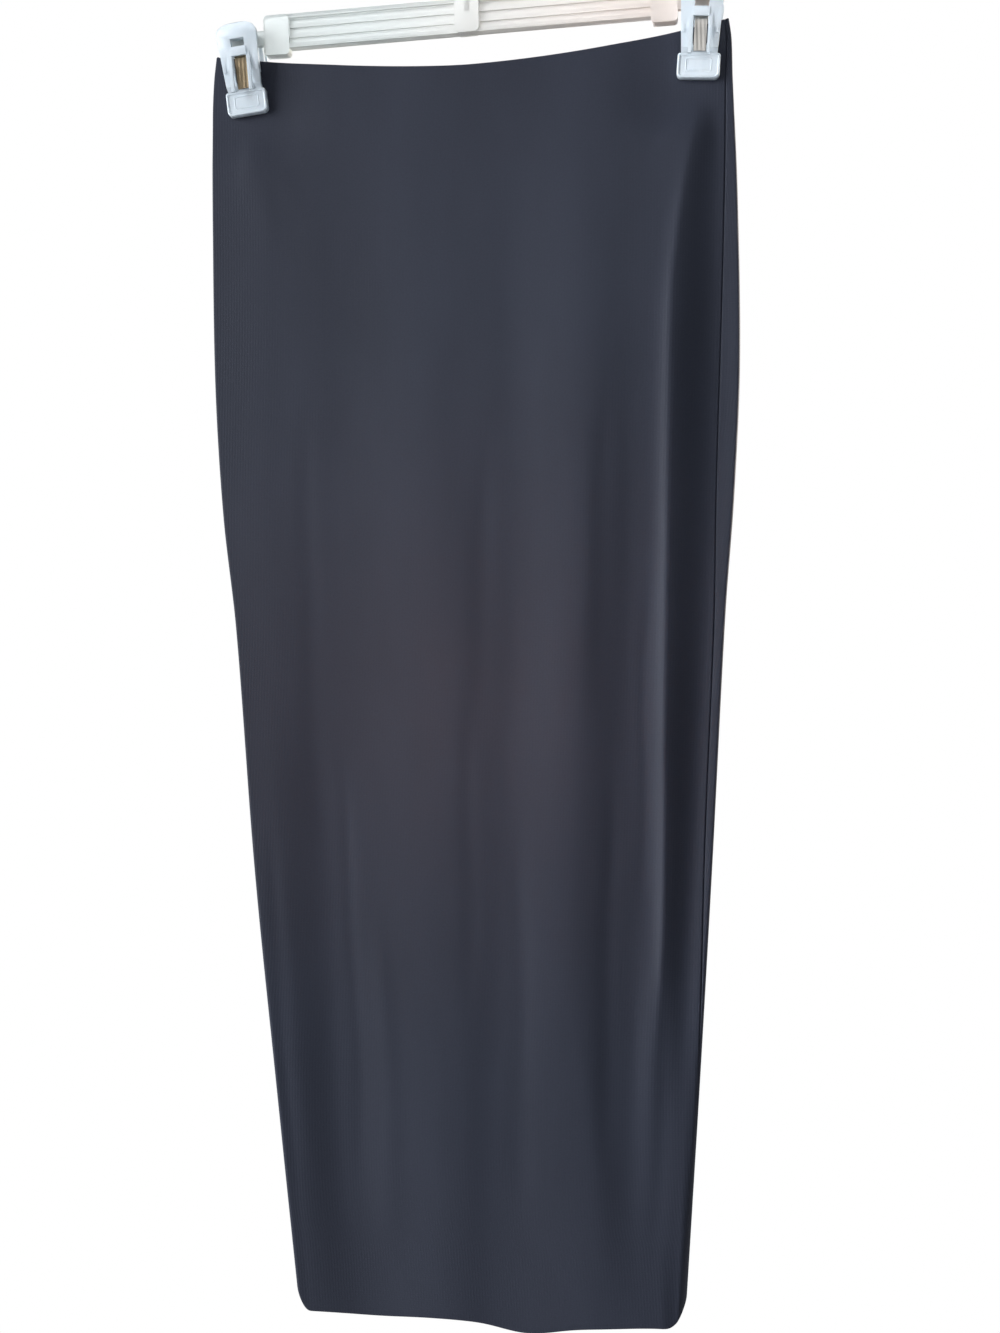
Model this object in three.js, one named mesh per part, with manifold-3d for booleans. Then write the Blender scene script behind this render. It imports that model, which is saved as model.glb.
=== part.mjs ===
// Midi skirt on a clip hanger: a narrow pull-on skirt of two jersey panels, pinched at its waist by two
// sprung clips that hang from a clear moulded bar with a wire hook. Millimetres, +Z up. The front of the
// skirt faces -Y, and the origin is the inside of the hook's top, where a rail carries it.
import * as THREE from "three";
import { mergeVertices } from "three/addons/utils/BufferGeometryUtils.js";
import Module from "manifold-3d";

const wasm = await Module();
wasm.setup();

// ---- Driving dimensions ----
const GAP = 0.3; // between pieces that touch or are sewn together

const WALL = 1.5; // jersey, as a wall of two turned layers
const WAIST_MIDDLE_Z = -111.3; // the waist edge hangs lowest half way between the clips
const WAIST_RISE = { left: 18, right: 16.5 }; // and rises this much to each side,
const WAIST_BEND = { left: 1.5, right: 2 }; // by this power of the way across
const HEM_Z = -879.5;
const EDGE_RADIUS = 3; // how softly the tube turns at its two sides
const COLUMNS = 36; // facets across a panel
const BAND_ROWS = 2; // facets from the waist edge down to the clips' lower edge
const DROP_ROWS = 19; // and from there to the hem,
const ROW_GROWTH = 1.25; // each row longer than the one above

const CLIP_X = 142.4; // the clips' pivots, either side of the middle
const CLIP_Z = -84;
const CLIP_LEAN = THREE.MathUtils.degToRad(5); // the cloth's weight draws the jaws inward
const JAW_TOP = -33.5; // below the pivot, like every clip height
const JAW_BOTTOM = -47.8;
const JAW_WIDTH = 25.4;
const PINCHED = 2; // from the middle plane to the outside of the cloth between the jaws
const PINCH_X = 138.5; // middle of the jaws
const PINCH_HALF_WIDTH = 21.5;
const PINCH_SIDE_FADE = 26;
const PINCH_Z = -136;
const PINCH_DROP_FADE = 46;

const BAR_TOP = -71;
const BAR_HEIGHT = 20.7;
const BAR_HALF_LENGTH = 127.4;
const WIRE_RADIUS = 1.6;
const HOOK_INNER_RADIUS = 20;

// ---- The skirt's tables ----
// Outline, level by level: where the two silhouettes lie, and how far round the tube the right seam is
// turned to the front and the left seam to the back, in degrees from the silhouette.
const LEVELS = [
  { z: -94, left: -159, right: 152.6, rightSeam: 14, leftSeam: 9 },
  { z: -108, left: -161, right: 157.6, rightSeam: 15, leftSeam: 10 },
  { z: -130, left: -162.6, right: 158.2, rightSeam: 16, leftSeam: 12 },
  { z: -200, left: -164.6, right: 159.2, rightSeam: 19, leftSeam: 14 },
  { z: -300, left: -166, right: 158.5, rightSeam: 22, leftSeam: 15 },
  { z: -380, left: -163.4, right: 153.6, rightSeam: 21, leftSeam: 14 },
  { z: -450, left: -157.4, right: 146.7, rightSeam: 17, leftSeam: 12 },
  { z: -600, left: -150, right: 135.2, rightSeam: 15, leftSeam: 10 },
  { z: -740, left: -139.8, right: 123.8, rightSeam: 6, leftSeam: 9 },
  { z: -880, left: -129.3, right: 111.8, rightSeam: -6, leftSeam: 8 },
];

// Flutes of each panel, from the left edge to the right. The first three numbers are their places across the
// tube at three heights, from -1 at the left silhouette to 1 at the right, and the last four are how far the
// cloth stands out there from the tube's middle plane at four heights.
const PLACE_HEIGHTS = { atWaist: -108, atHip: -260, atHem: -876 };
const FOLD_HEIGHTS = { waist: -108, hip: -260, knee: -560, hem: -876 };
const FRONT_FOLDS = [
  { name: "left edge", atWaist: -1, atHip: -1, atHem: -1, waist: 3, hip: 3, knee: 3, hem: 4 },
  { name: "left crest", atWaist: -0.86, atHip: -0.86, atHem: -0.92, waist: 3.5, hip: 5, knee: 5, hem: 8 },
  { name: "left valley", atWaist: -0.62, atHip: -0.62, atHem: -0.7, waist: 3.8, hip: 5.4, knee: 3.8, hem: 8 },
  { name: "broad crest", atWaist: -0.1, atHip: -0.1, atHem: -0.2, waist: 5, hip: 9.6, knee: 10.4, hem: 14.5 },
  { name: "middle valley", atWaist: 0.12, atHip: 0.12, atHem: 0.03, waist: 5, hip: 10, knee: 8.6, hem: 14 },
  { name: "second crest", atWaist: 0.46, atHip: 0.46, atHem: 0.28, waist: 6, hip: 14.5, knee: 13.5, hem: 21 },
  { name: "right valley", atWaist: 0.8, atHip: 0.63, atHem: 0.7, waist: 6, hip: 12, knee: 8, hem: 15 },
  { name: "ridge", atWaist: 0.93, atHip: 0.735, atHem: 0.87, waist: 5.5, hip: 17, knee: 15.5, hem: 16 },
  { name: "ridge foot", atWaist: 0.97, atHip: 0.85, atHem: 0.96, waist: 3.5, hip: 3.5, knee: 4, hem: 12.5 },
  { name: "right edge", atWaist: 1, atHip: 1, atHem: 1, waist: 3, hip: 4, knee: 4.5, hem: 8 },
];
const BACK_FOLDS = [
  { name: "left edge", atWaist: -1, atHip: -1, atHem: -1, waist: 3, hip: 4, knee: 5, hem: 7 },
  { name: "left ridge", atWaist: -0.74, atHip: -0.74, atHem: -0.8, waist: 4.5, hip: 13, knee: 14, hem: 15 },
  { name: "left valley", atWaist: -0.5, atHip: -0.5, atHem: -0.52, waist: 4.5, hip: 8, knee: 8, hem: 11 },
  { name: "middle crest", atWaist: -0.08, atHip: -0.08, atHem: -0.14, waist: 6, hip: 15, knee: 16, hem: 21 },
  { name: "middle valley", atWaist: 0.25, atHip: 0.25, atHem: 0.2, waist: 6, hip: 10, knee: 9, hem: 12 },
  { name: "right crest", atWaist: 0.56, atHip: 0.56, atHem: 0.6, waist: 5, hip: 14, knee: 15, hem: 18 },
  { name: "right edge", atWaist: 1, atHip: 1, atHem: 1, waist: 3, hip: 4, knee: 5, hem: 8 },
];

// ---- Interpolation ----
const clamp01 = (t) => Math.min(1, Math.max(0, t));
const soft = (t) => clamp01(t) ** 2 * (3 - 2 * clamp01(t));
const mix = THREE.MathUtils.lerp;

// A smooth curve through [place, value] pairs, flat at neither end, held level beyond them.
function curveThrough(knots, place) {
  const last = knots.length - 1;
  const rising = knots[last][0] > knots[0][0] ? 1 : -1;
  const inside = (k) => (place - knots[k][0]) * rising >= 0;
  if (!inside(0)) return knots[0][1];
  if (inside(last)) return knots[last][1];
  let k = 0;
  while (inside(k + 1)) k += 1;
  const slope = (i) => {
    const [a, b] = [knots[Math.max(0, i - 1)], knots[Math.min(last, i + 1)]];
    return (b[1] - a[1]) / (b[0] - a[0]);
  };
  const [[p0, v0], [p1, v1]] = [knots[k], knots[k + 1]];
  const span = p1 - p0;
  const t = (place - p0) / span;
  const [t2, t3] = [t * t, t * t * t];
  return (
    v0 * (2 * t3 - 3 * t2 + 1) +
    v1 * (3 * t2 - 2 * t3) +
    span * (slope(k) * (t3 - 2 * t2 + t) + slope(k + 1) * (t3 - t2))
  );
}

const atLevel = (column, z) => curveThrough(LEVELS.map((level) => [level.z, level[column]]), z);
const atHeights = (heights, fold, z) =>
  curveThrough(Object.entries(heights).map(([name, height]) => [height, fold[name]]), z);

// ---- The tube ----
// How far a panel stands out from the middle plane at a place across it, before its edges are rounded.
function standOut(folds, across, z) {
  const place = (fold) => atHeights(PLACE_HEIGHTS, fold, z);
  const out = (fold) => atHeights(FOLD_HEIGHTS, fold, z);
  let k = 0;
  while (k < folds.length - 2 && across > place(folds[k + 1])) k += 1;
  const [a, b] = [folds[k], folds[k + 1]];
  return mix(out(a), out(b), soft((across - place(a)) / (place(b) - place(a))));
}

// 1 where a clip holds the panels flat, fading out beside and below it.
function pinch(x, z) {
  const beside = soft((Math.abs(Math.abs(x) - PINCH_X) - PINCH_HALF_WIDTH) / PINCH_SIDE_FADE);
  const below = soft((PINCH_Z - z) / PINCH_DROP_FADE);
  return (1 - beside) * (1 - below);
}

// The first rows share out the cloth between the sagging waist edge and the clips' lower edge, and the
// rest grow longer from there to the level hem.
function rowHeight(across, row) {
  const side = across < 0 ? "left" : "right";
  const waistZ = WAIST_MIDDLE_Z + WAIST_RISE[side] * Math.abs(across) ** WAIST_BEND[side];
  if (row <= BAND_ROWS) return mix(waistZ, PINCH_Z, row / BAND_ROWS);
  return mix(PINCH_Z, HEM_Z, ((row - BAND_ROWS) / DROP_ROWS) ** ROW_GROWTH);
}

// A point on the tube's outside. turn runs from the right silhouette (0) over the front to the left one
// (half a circle) and on over the back.
function tubePoint(turn, row) {
  const across = Math.cos(turn);
  const z = rowHeight(across, row);
  const [left, right] = [atLevel("left", z), atLevel("right", z)];
  const halfWidth = (right - left) / 2;
  const x = (left + right) / 2 + halfWidth * across;
  const folds = Math.sin(turn) >= 0 ? FRONT_FOLDS : BACK_FOLDS;
  const held = pinch(x, z);
  const out = mix(standOut(folds, across, z), PINCHED, held);
  const edge = mix(standOut(folds, Math.sign(across), z), PINCHED, held);
  const reach = Math.max(edge, (edge * edge) / EDGE_RADIUS);
  const inward = clamp01((halfWidth * (1 - Math.abs(across))) / reach);
  const rounding = Math.sqrt(1 - (1 - inward) ** 2);
  return new THREE.Vector3(x, -Math.sign(Math.sin(turn)) * out * rounding, z);
}

// The way out of the tube, level, at a point on it, and how fast the point moves with turn.
function tubeSide(turn, row) {
  const step = 1e-3;
  const along = tubePoint(turn + step, row).sub(tubePoint(turn - step, row)).divideScalar(2 * step);
  const speed = Math.hypot(along.x, along.y);
  return { out: new THREE.Vector3(-along.y / speed, along.x / speed, 0), speed };
}

// One panel: an outer and an inner sheet, WALL apart, closed round the rim. It runs from its start seam
// to its end seam, each a column of LEVELS counted on from a turn of its own.
function panelGeometry(start, end) {
  const rows = BAND_ROWS + DROP_ROWS;
  const points = [];
  for (let row = 0; row <= rows; row += 1) {
    const z = rowHeight(1, row);
    const seamTurn = ({ column, from }) => from + THREE.MathUtils.degToRad(atLevel(column, z));
    const inset = (turn) => GAP / 2 / tubeSide(turn, row).speed;
    const first = seamTurn(start) + inset(seamTurn(start));
    const last = seamTurn(end) - inset(seamTurn(end));
    for (let column = 0; column <= COLUMNS; column += 1) {
      const turn = mix(first, last, column / COLUMNS);
      const outside = tubePoint(turn, row);
      points.push(outside, outside.clone().addScaledVector(tubeSide(turn, row).out, -WALL));
    }
  }
  const outer = (row, column) => 2 * (row * (COLUMNS + 1) + column);
  const inner = (row, column) => outer(row, column) + 1;
  const faces = [];
  const quad = (a, b, c, d) => faces.push(a, b, c, a, c, d);
  for (let row = 0; row < rows; row += 1)
    for (let column = 0; column < COLUMNS; column += 1) {
      const [r, c] = [row + 1, column + 1];
      quad(outer(row, column), outer(row, c), outer(r, c), outer(r, column));
      quad(inner(row, column), inner(r, column), inner(r, c), inner(row, c));
    }
  for (let column = 0; column < COLUMNS; column += 1) {
    const c = column + 1;
    quad(outer(0, column), inner(0, column), inner(0, c), outer(0, c));
    quad(outer(rows, column), outer(rows, c), inner(rows, c), inner(rows, column));
  }
  for (let row = 0; row < rows; row += 1) {
    const r = row + 1;
    quad(outer(row, 0), outer(r, 0), inner(r, 0), inner(row, 0));
    quad(outer(row, COLUMNS), inner(row, COLUMNS), inner(r, COLUMNS), outer(r, COLUMNS));
  }
  const geometry = new THREE.BufferGeometry().setFromPoints(points);
  geometry.setIndex(faces);
  geometry.computeVertexNormals();
  return geometry;
}

// ---- Solids of the hanger ----
const box = (x, y, z, at) => new THREE.BoxGeometry(x, y, z).translate(...at);

function solidOf(geometry) {
  const bare = geometry.clone();
  bare.deleteAttribute("normal");
  bare.deleteAttribute("uv");
  const merged = mergeVertices(bare, 1e-4);
  const mesh = new wasm.Mesh({
    numProp: 3,
    vertProperties: merged.attributes.position.array,
    triVerts: new Uint32Array(merged.index.array),
  });
  return new wasm.Manifold(mesh);
}

function geometryOf(solid) {
  const mesh = solid.getMesh();
  const geometry = new THREE.BufferGeometry();
  geometry.setAttribute("position", new THREE.BufferAttribute(new Float32Array(mesh.vertProperties), 3));
  geometry.setIndex(new THREE.BufferAttribute(new Uint32Array(mesh.triVerts), 1));
  const flat = geometry.toNonIndexed();
  flat.computeVertexNormals();
  return flat;
}

const joined = (...geometries) => geometries.map(solidOf).reduce((all, next) => all.add(next));

// An outline in X and Z, given depth from Y = back towards the front.
function slab(shape, depth, back) {
  return new THREE.ExtrudeGeometry(shape, { depth, bevelEnabled: false, curveSegments: 6 })
    .rotateX(Math.PI / 2)
    .translate(0, back, 0);
}

// An outline in Y and Z, given width along X, about the middle.
function bar(shape, width) {
  const sideways = new THREE.Matrix4().makeBasis(
    new THREE.Vector3(0, 1, 0),
    new THREE.Vector3(0, 0, 1),
    new THREE.Vector3(1, 0, 0),
  );
  return new THREE.ExtrudeGeometry(shape, { depth: width, bevelEnabled: false, curveSegments: 6 })
    .translate(0, 0, -width / 2)
    .applyMatrix4(sideways);
}

const outline = (points) => new THREE.Shape(points.map(([a, b]) => new THREE.Vector2(a, b)));

// A rectangle in X and Z with its corners rounded.
function roundedBox(width, low, high, radius) {
  const [side, r] = [width / 2, radius];
  const shape = new THREE.Shape();
  shape.moveTo(-side + r, low);
  shape.lineTo(side - r, low);
  shape.absarc(side - r, low + r, r, -Math.PI / 2, 0);
  shape.absarc(side - r, high - r, r, 0, Math.PI / 2);
  shape.absarc(-side + r, high - r, r, Math.PI / 2, Math.PI);
  shape.absarc(-side + r, low + r, r, Math.PI, 1.5 * Math.PI);
  return shape;
}

// ---- Hanger ----
const BLOCK_LENGTH = 16;
const BLOCK_DROP = 4; // the end blocks reach this much below the bar
const BAR_LIP = 2.4; // height of each lengthwise lip of the bar
const BAR_DEPTH = 6;
const BAR_WEB = 2.2;
const TAB_HALF_HEIGHT = 4.5;
const TAB_DEPTH = 3;
const TAB_END = 151;
const BOSS_WIDTH = 15;
const BOSS_RISE = 6; // above the bar
const SOCKET_DEPTH = 13;
const SUNK = 2; // how far joined pieces of one moulding run into each other
const BLOCK_CORNER = 2.5;
const BOSS_CORNER = 3;
const HOOK_NECK = [[0, -66], [0, -56], [1.6, -48.5], [8.5, -41.5]]; // X and Z, up from the boss
const HOOK_FROM = -40; // the round part, in degrees about its centre
const HOOK_TO = 205;
const HOOK_STEPS = 12;
const WIRE_STEPS = 56;
const WIRE_SEGMENTS = 5; // in half of its round section

// The bar's section: a web with a lip along its top and bottom edges and two ribs between them.
function barSection() {
  const [deep, thin] = [BAR_DEPTH / 2, BAR_WEB / 2];
  const rib = (deep + thin) / 2;
  const gap = (BAR_HEIGHT - 4 * BAR_LIP) / 3;
  const steps = [];
  [deep, rib, rib, deep].forEach((reach, k) => {
    const high = BAR_TOP - k * (BAR_LIP + gap);
    steps.push([thin, high], [reach, high], [reach, high - BAR_LIP], [thin, high - BAR_LIP]);
  });
  const side = steps.slice(1, -1);
  return outline([...side, ...side.map(([y, z]) => [-y, z]).reverse()]);
}

function hangerBar() {
  const low = BAR_TOP - BAR_HEIGHT;
  const ends = [-1, 1].flatMap((side) => {
    const face = roundedBox(BLOCK_LENGTH, low - BLOCK_DROP, BAR_TOP, BLOCK_CORNER);
    const block = slab(face, BAR_DEPTH + 1, (BAR_DEPTH + 1) / 2);
    const tabFrom = BAR_HALF_LENGTH - SUNK;
    const tabMiddle = (side * (TAB_END + tabFrom)) / 2;
    return [
      block.translate(side * (BAR_HALF_LENGTH - BLOCK_LENGTH / 2), 0, 0),
      box(TAB_END - tabFrom, TAB_DEPTH, 2 * TAB_HALF_HEIGHT, [tabMiddle, 0, CLIP_Z]),
    ];
  });
  const bossFace = roundedBox(BOSS_WIDTH, low, BAR_TOP + BOSS_RISE, BOSS_CORNER);
  const boss = slab(bossFace, BAR_DEPTH + 2, BAR_DEPTH / 2 + 1);
  const socket = new THREE.CylinderGeometry(WIRE_RADIUS + GAP, WIRE_RADIUS + GAP, 2 * SOCKET_DEPTH, 16)
    .rotateX(Math.PI / 2)
    .translate(0, 0, BAR_TOP + BOSS_RISE);
  const length = 2 * (BAR_HALF_LENGTH - 2 * SUNK);
  const body = joined(bar(barSection(), length), boss, ...ends);
  return geometryOf(body.subtract(solidOf(socket)));
}

// A wire bent from the boss's socket round the rail: up, out to the right, over the top and down.
function hangerHook() {
  const radius = HOOK_INNER_RADIUS + WIRE_RADIUS;
  const centre = -HOOK_INNER_RADIUS;
  const foot = BAR_TOP + BOSS_RISE - SOCKET_DEPTH + GAP;
  const at = (x, z) => new THREE.Vector3(x, 0, z);
  const route = [at(0, foot), ...HOOK_NECK.map(([x, z]) => at(x, z))];
  for (let k = 0; k <= HOOK_STEPS; k += 1) {
    const angle = THREE.MathUtils.degToRad(mix(HOOK_FROM, HOOK_TO, k / HOOK_STEPS));
    route.push(at(radius * Math.cos(angle), centre + radius * Math.sin(angle)));
  }
  const wire = new THREE.Shape().absarc(0, 0, WIRE_RADIUS, 0, 2 * Math.PI);
  return new THREE.ExtrudeGeometry(wire, {
    steps: WIRE_STEPS,
    curveSegments: WIRE_SEGMENTS,
    bevelEnabled: false,
    extrudePath: new THREE.CatmullRomCurve3(route),
  });
}

// ---- Clips, each about its own pivot ----
const LEVER_TOP = 7; // above the pivot
const LEVER_TOP_WIDTH = 25.4;
const LEVER_LOW_WIDTH = 21.5;
const SLOT_WIDTH = 8.6;
const SLOT_TOP = -3;
const LEDGE_TOP = -29; // the spring's ends press on a ledge at the slot's foot
const CROSSBAR_TOP = -8;
const CROSSBAR_BOTTOM = -13.5;
const STRIP_WIDTH = 7.3;
const STRIP = 0.7; // thickness of the spring's steel
const ARCH_TOP = -TAB_HALF_HEIGHT - 0.9;
const JAW_CORNER = 3;
const JAW_SHOULDER = 1.5;
const DOME_SIDE = 4; // handles of the dome's curve
const DOME_CROWN = 8;

// Front lever, seen from the side, in Y and Z: out at the thumb end, in at the jaw.
const THUMB_OUTSIDE = [[-13.2, 3], [-12.4, 6.2], [-10.6, LEVER_TOP + 1]];
const LEVER_INSIDE = [[-10.2, 4.5], [-6.6, -30.5]];
const FOOT_OUTSIDE = [[-9.4, -31], [-7.4, -32.8], [-6.2, -35.2], [-6.2, JAW_BOTTOM - 1]];
const JAW_FACE = PINCHED + GAP;
const JAW_FACE_TOP = -34.6;

// The levers' ribs, each with its size along X, Y and Z and its middle.
const CROSSBAR = { size: [SLOT_WIDTH + 1, 1.3, CROSSBAR_TOP - CROSSBAR_BOTTOM], y: -11.6 };
const RECESS = { size: [SLOT_WIDTH - 0.6, 4, 5], y: -9.2 };
const RAIL = { size: [2.2, 1.4, 38], beside: 1.4, y: -11.1, z: -17.3, tilt: -0.105 };
const CHEEK = { size: [1.8, 6, 24], x: 10.2, y: -8, z: -11 };
const BEARING = { width: 16, height: 3, front: 9.4 }; // rests against the bar's tab
const THROUGH = 20; // deeper than a lever

// The spring's front leg, in Y and Z, from the top of its arch to its end on the ledge.
const SPRING_LEG = [
  [0, ARCH_TOP], [-3.6, -6.9], [-6.6, -9], [-8.9, -13], [-9.1, -18], [-8.3, -25], [-7.9, -32.6],
];
const SPRING_SAMPLES = 40;

function leverSide() {
  const jawInside = [[-JAW_FACE, JAW_FACE_TOP], [-JAW_FACE, JAW_BOTTOM - 1]];
  return outline([...THUMB_OUTSIDE, ...LEVER_INSIDE, ...jawInside, ...FOOT_OUTSIDE.toReversed()]);
}

// Front lever, seen from the front: a domed thumb end, a narrowing body and a wide rounded jaw.
function leverFace() {
  const [top, low, jaw] = [LEVER_TOP_WIDTH / 2, LEVER_LOW_WIDTH / 2, JAW_WIDTH / 2];
  const [foot, shoulder] = [JAW_CORNER, JAW_SHOULDER];
  const face = new THREE.Shape();
  face.moveTo(-jaw + foot, JAW_BOTTOM);
  face.lineTo(jaw - foot, JAW_BOTTOM);
  face.absarc(jaw - foot, JAW_BOTTOM + foot, foot, -Math.PI / 2, 0);
  face.absarc(jaw - shoulder, JAW_TOP - shoulder, shoulder, 0, Math.PI / 2);
  face.lineTo(low, JAW_TOP);
  face.lineTo(top, 0);
  face.bezierCurveTo(top, DOME_SIDE, DOME_CROWN, LEVER_TOP, 0, LEVER_TOP);
  face.bezierCurveTo(-DOME_CROWN, LEVER_TOP, -top, DOME_SIDE, -top, 0);
  face.lineTo(-low, JAW_TOP);
  face.absarc(-jaw + shoulder, JAW_TOP - shoulder, shoulder, Math.PI / 2, Math.PI);
  face.absarc(-jaw + foot, JAW_BOTTOM + foot, foot, Math.PI, 1.5 * Math.PI);
  return face;
}

function lever() {
  const outside = solidOf(slab(leverFace(), THROUGH, 0));
  const body = solidOf(bar(leverSide(), JAW_WIDTH + 4)).intersect(outside);
  const slotMiddle = (SLOT_TOP + LEDGE_TOP) / 2;
  const slot = box(SLOT_WIDTH, THROUGH, SLOT_TOP - LEDGE_TOP, [0, -THROUGH / 2, slotMiddle]);
  const recess = box(...RECESS.size, [0, RECESS.y, LEDGE_TOP - 1.5]);
  const crossbar = box(...CROSSBAR.size, [0, CROSSBAR.y, (CROSSBAR_TOP + CROSSBAR_BOTTOM) / 2]);
  const rails = [-1, 1].map((side) =>
    box(...RAIL.size, [0, -0.4, 0])
      .rotateX(RAIL.tilt)
      .translate(side * (SLOT_WIDTH / 2 + RAIL.beside), RAIL.y, RAIL.z));
  const cheeks = [-1, 1].map((side) => box(...CHEEK.size, [side * CHEEK.x, CHEEK.y, CHEEK.z]));
  const bearingBack = TAB_DEPTH / 2 + GAP;
  const bearing = box(BEARING.width, BEARING.front - bearingBack, BEARING.height, [
    0, -(BEARING.front + bearingBack) / 2, BEARING.height / 2]);
  const whole = body.subtract(solidOf(slot)).subtract(solidOf(recess));
  return geometryOf(whole.add(joined(crossbar, ...rails, ...cheeks, bearing)));
}

// The spring: a steel strip arched under the bar's tab, down through both slots to the jaws' ledges.
function spring() {
  const backLeg = SPRING_LEG.map(([y, z]) => [-y, z]);
  const both = [...SPRING_LEG.slice(1).reverse(), ...backLeg];
  const middle = new THREE.SplineCurve(both.map(([y, z]) => new THREE.Vector2(y, z)));
  const beside = (k, side) => {
    const along = middle.getTangent(k / SPRING_SAMPLES);
    const away = new THREE.Vector2(-along.y, along.x).multiplyScalar(side);
    return middle.getPoint(k / SPRING_SAMPLES).add(away);
  };
  const steps = Array.from({ length: SPRING_SAMPLES + 1 }, (_, k) => k);
  const edge = (side) => steps.map((k) => beside(k, (side * STRIP) / 2));
  return bar(new THREE.Shape([...edge(1), ...edge(-1).reverse()]), STRIP_WIDTH);
}

// ---- The whole ----
const JERSEY = new THREE.MeshStandardMaterial({ color: 0x3a3f4a, roughness: 0.75 });
const CLEAR = new THREE.MeshStandardMaterial({ color: 0xe6ebe8, roughness: 0.15 });
const FROSTED = new THREE.MeshStandardMaterial({ color: 0xd9e6f2, roughness: 0.4 });
const STEEL = new THREE.MeshStandardMaterial({ color: 0xb9b2a6, roughness: 0.3, metalness: 1 });

function named(name, geometry, material) {
  const mesh = new THREE.Mesh(geometry, material);
  mesh.name = name;
  return mesh;
}

function clip(side) {
  const group = new THREE.Group();
  const front = named(`clip_${side}_front`, lever(), FROSTED);
  const back = named(`clip_${side}_back`, lever(), FROSTED);
  back.rotation.z = Math.PI;
  group.add(front, back, named(`clip_${side}_spring`, spring(), STEEL));
  const way = side === "left" ? -1 : 1;
  group.position.set(way * CLIP_X, 0, CLIP_Z);
  group.rotation.y = way * CLIP_LEAN;
  return group;
}

const rightSeam = { column: "rightSeam", from: 0 };
const leftSeam = { column: "leftSeam", from: Math.PI };
const skirt = new THREE.Group();
skirt.add(
  named("front_panel", panelGeometry(rightSeam, leftSeam), JERSEY),
  named("back_panel", panelGeometry(leftSeam, { ...rightSeam, from: 2 * Math.PI }), JERSEY),
);

const part = new THREE.Group();
part.add(
  skirt,
  named("hanger_bar", hangerBar(), CLEAR),
  named("hanger_hook", hangerHook(), STEEL),
  clip("left"),
  clip("right"),
);
export default part;
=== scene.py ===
"""Midi skirt on a clip hanger: the looks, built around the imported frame. Metres, +Z up, front to -Y."""

import bmesh
import bpy
import numpy as np
from mathutils import Matrix, Vector


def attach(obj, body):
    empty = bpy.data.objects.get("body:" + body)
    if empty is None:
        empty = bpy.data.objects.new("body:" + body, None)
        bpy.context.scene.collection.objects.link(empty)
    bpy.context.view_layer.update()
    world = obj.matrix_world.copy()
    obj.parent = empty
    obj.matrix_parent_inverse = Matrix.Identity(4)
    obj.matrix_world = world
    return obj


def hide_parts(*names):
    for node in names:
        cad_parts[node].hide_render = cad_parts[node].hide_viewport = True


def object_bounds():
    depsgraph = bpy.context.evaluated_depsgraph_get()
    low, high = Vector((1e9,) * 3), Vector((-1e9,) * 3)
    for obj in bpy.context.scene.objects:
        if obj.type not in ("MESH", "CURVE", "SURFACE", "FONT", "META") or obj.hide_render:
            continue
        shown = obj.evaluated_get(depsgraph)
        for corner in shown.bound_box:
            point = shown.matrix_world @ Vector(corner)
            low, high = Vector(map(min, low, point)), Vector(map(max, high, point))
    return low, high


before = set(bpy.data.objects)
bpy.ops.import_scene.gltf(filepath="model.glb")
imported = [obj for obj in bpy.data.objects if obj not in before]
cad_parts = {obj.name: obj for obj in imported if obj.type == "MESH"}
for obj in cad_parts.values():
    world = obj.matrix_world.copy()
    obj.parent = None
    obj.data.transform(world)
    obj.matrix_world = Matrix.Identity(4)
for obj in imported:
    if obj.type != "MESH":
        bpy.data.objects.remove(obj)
CAD_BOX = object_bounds()
MM = 0.001

# ---- The skirt's own sizes, in millimetres, close to those of its CAD panels ----
WAIST_MIDDLE_Z = -111.3
WAIST_RISE_LEFT, WAIST_BEND_LEFT = 18.0, 1.5
WAIST_RISE_RIGHT, WAIST_BEND_RIGHT = 15.3, 2.0
HEM_Z = -879.5
EDGE_REACH = 0.45  # how far in from a silhouette the cloth turns, over how far it stands out there
EDGE_POWER = 3.0  # how squarely it turns: 2 is round
PINCHED = 2.0
PINCH_X = 138.5
PINCH_HALF_WIDTH = 15.0
PINCH_SIDE_FADE = 40.0
PINCH_Z = -136.0
PINCH_DROP_FADE = 32.0

# The tube's outline level by level: its two silhouettes, and how many degrees each seam lies off its own
# silhouette, the right one towards the front and the left one towards the back.
LEVEL_COLUMNS = ("z", "left", "right", "right_seam", "left_seam")
LEVELS = (
    (-94, -159, 157.2, 10, 9),
    (-108, -161, 158.8, 11, 10),
    (-130, -162.6, 158.9, 13, 12),
    (-200, -164.6, 160.1, 18, 14),
    (-300, -166, 159, 22, 15),
    (-380, -163.4, 153.6, 21, 14),
    (-450, -157.4, 146.7, 17, 12),
    (-600, -150, 135.2, 15, 10),
    (-740, -139.8, 123.8, 6, 9),
    (-880, -129.3, 111.8, -6, 8),
)

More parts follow.
